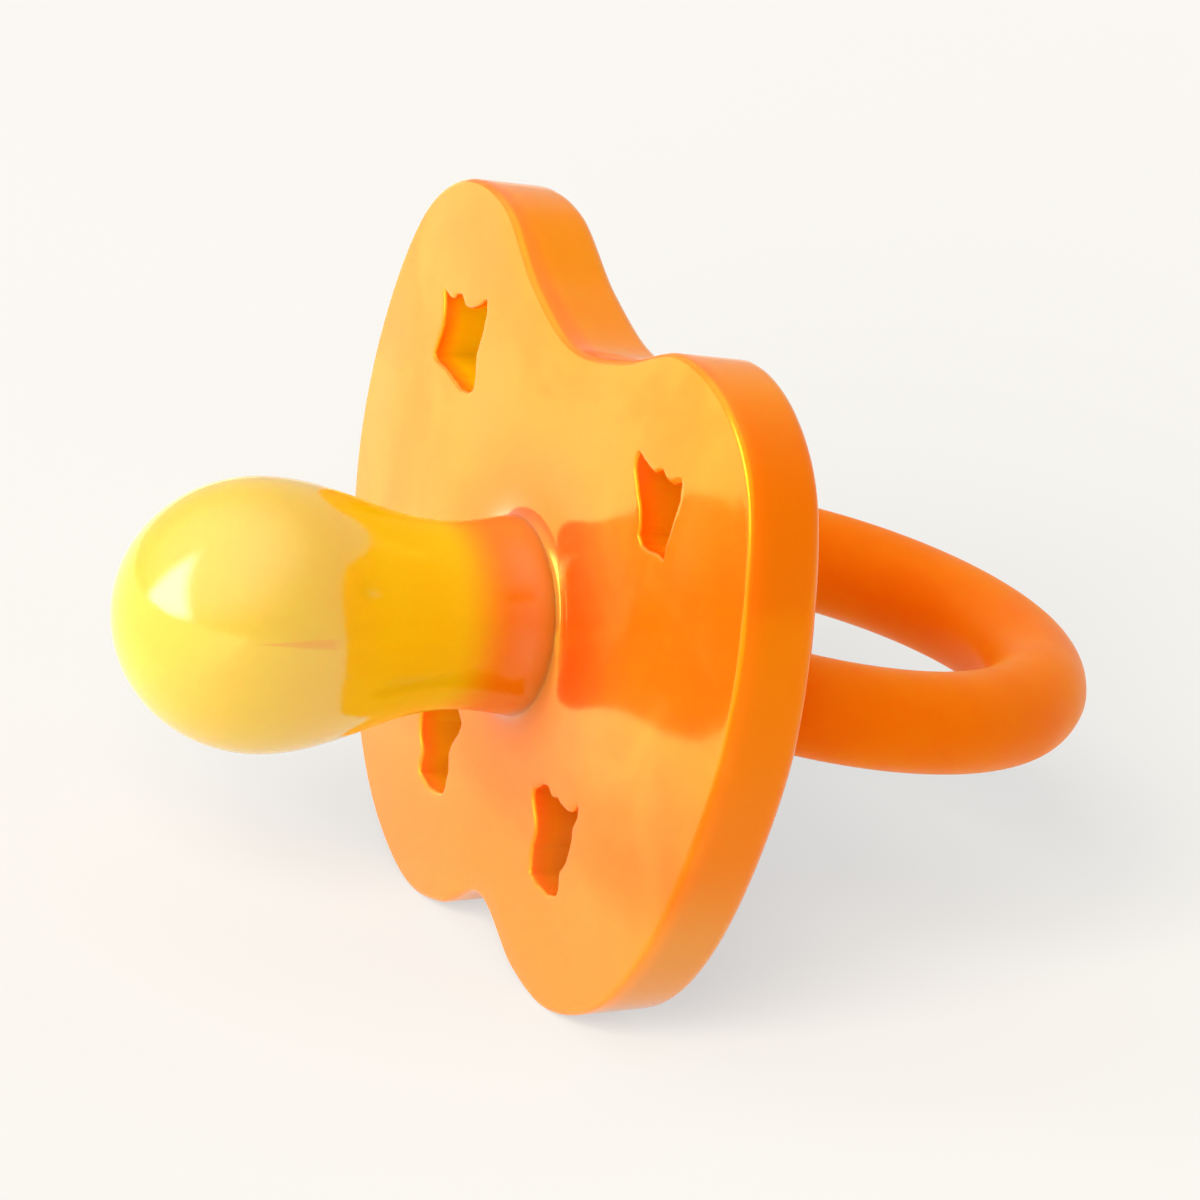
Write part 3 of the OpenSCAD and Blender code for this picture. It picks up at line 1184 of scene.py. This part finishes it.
@dataclass
class Studio:
    """The pale floor, the soft light and the camera."""

    floor_z: float
    right: tuple = (0.411, 0.897, 0.162)
    up: tuple = (-0.367, 0.0, 0.930)
    back: tuple = (0.835, -0.442, 0.329)
    target: tuple = (1.70 * MM, 3.98 * MM, 1.59 * MM)
    distance: float = 1.880
    lens: float = 980.0
    room: float = 0.70
    wall_toward: tuple = (0.0, -0.60, 0.80)
    wall_strength: float = 0.95
    wall_range: tuple = (0.3, 1.0)
    box_toward: tuple = (-0.156, -0.971, 0.218)
    box_strength: float = 4.5
    box_corners: tuple = ((-0.60, -0.13), (0.20, 0.50), (0.30, -0.36))
    box_soft: float = 0.20
    box_front: tuple = (0.2, 0.4)
    sun_toward: tuple = (0.66, -0.64, 0.42)
    sun_strength: float = 16.0
    sun_angle: float = 34.0
    sun_tint: tuple = (1.0, 0.925, 0.80)
    room_tint: tuple = (1.0, 0.995, 0.98, 1)
    floor_tones: tuple = ((0.122, 0.119, 0.113, 1), (0.118, 0.115, 0.109, 1))
    floor_glow: float = 0.578
    glow_panel: float = 0.88
    panel_edge: tuple = (-0.046, -0.014)
    glow_tints: tuple = ((0.975, 0.985, 0.985, 1), (1.0, 0.95, 0.60, 1))

    def build(self) -> None:
        """Makes the floor, the world, the lights and the camera."""
        self._floor()
        self._world()
        self._sun()
        self._camera()
        bpy.context.scene.view_settings.view_transform = "Standard"
        LOG.info("studio ready")

    def _floor(self) -> None:
        """A wide pale floor, partly lit by itself, with a warm panel that only reflections see."""
        bm = bmesh.new()
        bmesh.ops.create_grid(bm, x_segments=4, y_segments=4, size=4.0)
        mesh = bpy.data.meshes.new("floor")
        bm.to_mesh(mesh)
        bm.free()
        floor = bpy.data.objects.new("floor", mesh)
        floor.location.z = self.floor_z
        bpy.context.scene.collection.objects.link(floor)
        material = bpy.data.materials.new("pale_floor")
        material.use_nodes = True
        g = Graph(material.node_tree)
        shader = g.tree.nodes["Principled BSDF"]
        where = g.spot()
        tone = g.cloudy(where, 6.0, 2.0)
        colour = g.mix(g.ease(tone, 0.3, 0.7), *self.floor_tones)
        g.link(colour, shader.inputs["Base Color"])
        aside = g.along(where, (*self.right[:2], 0.0))
        seen = g.place("ShaderNodeLightPath").outputs["Is Camera Ray"]
        warm = g.times(g.ease(aside, *self.panel_edge, 1.0, 0.0), g.maths("SUBTRACT", 1.0, seen))
        g.link(g.maths("MULTIPLY_ADD", warm, self.glow_panel, self.floor_glow),
               shader.inputs["Emission Strength"])
        g.link(g.mix(warm, *self.glow_tints), shader.inputs["Emission Color"])
        shader.inputs["Roughness"].default_value = 0.9
        shader.inputs["Specular IOR Level"].default_value = 0.0
        mesh.materials.append(material)
        self.floor = floor

    def _world(self) -> None:
        """A white room with one large softbox painted on its wall."""
        world = bpy.data.worlds.new("studio")
        bpy.context.scene.world = world
        world.use_nodes = True
        g = Graph(world.node_tree)
        ground = g.tree.nodes["Background"]
        ray = g.place("ShaderNodeTexCoord").outputs["Generated"]
        toward = Vector(self.box_toward).normalized()
        side, rise = self._across(toward)
        box = g.ease(g.along(ray, toward), *self.box_front)
        for first, second in zip(self.box_corners, self.box_corners[1:] + self.box_corners[:1]):
            run = Vector(second) - Vector(first)
            inward = Vector((run.y, -run.x)).normalized()
            edge = side * inward.x + rise * inward.y
            start = Vector(first).dot(inward) - self.box_soft / 2
            within = g.ease(g.along(ray, edge), start, start + self.box_soft)
            box = g.times(box, within)
        broad = g.along(ray, Vector(self.wall_toward).normalized())
        wall = g.ease(broad, *self.wall_range, self.room, self.room + self.wall_strength)
        g.link(g.maths("MULTIPLY_ADD", box, self.box_strength, wall), ground.inputs["Strength"])
        ground.inputs["Color"].default_value = self.room_tint

    def _across(self, toward: Vector) -> tuple[Vector, Vector]:
        """The softbox's own right and up, as they are mirrored in the bulb.

        Args:
            toward: The direction of the softbox's middle.

        Returns:
            Right and up, square to each other and to the direction.
        """
        back, right = Vector(self.back), Vector(self.right)
        middle = (toward + back).normalized()
        side = right - middle * (2 * right.dot(middle))
        side = (side - toward * side.dot(toward)).normalized()
        rise = toward.cross(side)
        return side, rise if rise.dot(Vector(self.up)) > 0 else -rise

    def _sun(self) -> None:
        """A broad soft light on the floor, which throws the part's shadow behind it."""
        data = bpy.data.lights.new("key", "SUN")
        data.energy = self.sun_strength
        data.angle = math.radians(self.sun_angle)
        data.color = self.sun_tint
        lamp = bpy.data.objects.new("key", data)
        lamp.rotation_mode = "QUATERNION"
        lamp.rotation_quaternion = Vector(self.sun_toward).to_track_quat("Z", "Y")
        bpy.context.scene.collection.objects.link(lamp)
        lit = bpy.data.collections.new("lit_by_key")
        lit.objects.link(self.floor)
        lamp.light_linking.receiver_collection = lit

    def _camera(self) -> None:
        """A long lens that looks along the part's own tilt."""
        data = bpy.data.cameras.new("camera")
        data.lens = self.lens
        data.sensor_width = 36.0
        data.clip_start, data.clip_end = 0.05, 20.0
        camera = bpy.data.objects.new("camera", data)
        back = Vector(self.back).normalized()
        right = Vector(self.right)
        right = (right - back * right.dot(back)).normalized()
        up = back.cross(right)
        turn = Matrix((right, up, back)).transposed().to_4x4()
        camera.matrix_world = Matrix.Translation(Vector(self.target) + back * self.distance) @ turn
        bpy.context.scene.collection.objects.link(camera)
        bpy.context.scene.camera = camera


CLEAR_RUBBER = Rubber(
    "clear_natural_rubber", shade=(0.90, 0.53, 0.006), deep=(0.88, 0.46, 0.003), waist_share=0.9,
    along=(0.93, 0.20, 0.0003), along_from=-0.0068, along_to=-0.0030, along_share=1.0, patch_scale=90.0,
    patch_amount=0.5, glow_reach=0.003, glow_spread=(1.0, 0.6, 0.2), ior=1.95, sheen_tint=(1.0, 1.0, 1.0),
    gloss=0.09, dull=0.14, dark_streak=DarkStreak())
# The shield carries painted shade round the neck and on the side wall, painted light on the wall's top and in
# the vents, and a painted floor reflection low on the face and wall.
SHIELD_RUBBER = Rubber(
    "shield_rubber_finish", shade=(0.93, 0.148, 0.001), deep=(0.90, 0.095, 0.0003),
    hub=(0.87, 0.075, 0.0003), painted_hub_shade_near=0.006, painted_hub_shade_far=0.0125, painted_hub_shade_share=0.9, painted_vent_light=(0.97, 0.62, 0.002),
    along=(0.90, 0.10, 0.0002), wall_low_painted_reflection=(0.82, 0.22, 0.05), wall_top_painted_light=(0.94, 0.24, 0.0003),
    along_from=0.0011, along_to=0.0022, along_share=0.8, patch_scale=70.0, patch_amount=0.7,
    milk_and_low_reflection=(0.97, 0.28, 0.035), milk_amount=0.35, painted_low_reflection=0.75, glow_reach=0.0012,
    glow_spread=(1.0, 0.5, 0.15), ior=2.4, coat=0.12, gleam=0.4, sheen_tint=(1.0, 0.86, 0.0), gloss=0.08,
    dull=0.14)
PLUG_RUBBER = Rubber(
    "plug_rubber_finish", shade=(0.90, 0.17, 0.002), deep=(0.86, 0.12, 0.001), patch_scale=90.0,
    patch_amount=0.6, glow=0.0, ior=1.5, gloss=0.15, dull=0.28)
RING_RUBBER = Rubber(
    "ring_rubber_finish", shade=(0.83, 0.20, 0.001), deep=(0.78, 0.13, 0.0004), patch_scale=80.0,
    patch_amount=0.7, ior=1.4, level=0.1, sheen_tint=(1.0, 0.7, 0.1), gloss=0.34, dull=0.5)


def main() -> None:
    """Builds the pieces in order, then the studio."""
    logging.basicConfig(level=logging.INFO, format="%(name)s %(message)s")
    effects = Effects()
    Shield().build(SHIELD_RUBBER.make(effects))
    Teat().build(CLEAR_RUBBER.make(effects))
    Plug().build(PLUG_RUBBER.make(effects))
    Ring().build(RING_RUBBER.make(effects))
    Studio(floor_z=CAD_BOX[0].z).build()
    bpy.context.view_layer.update()


if __name__ == "__main__":
    main()
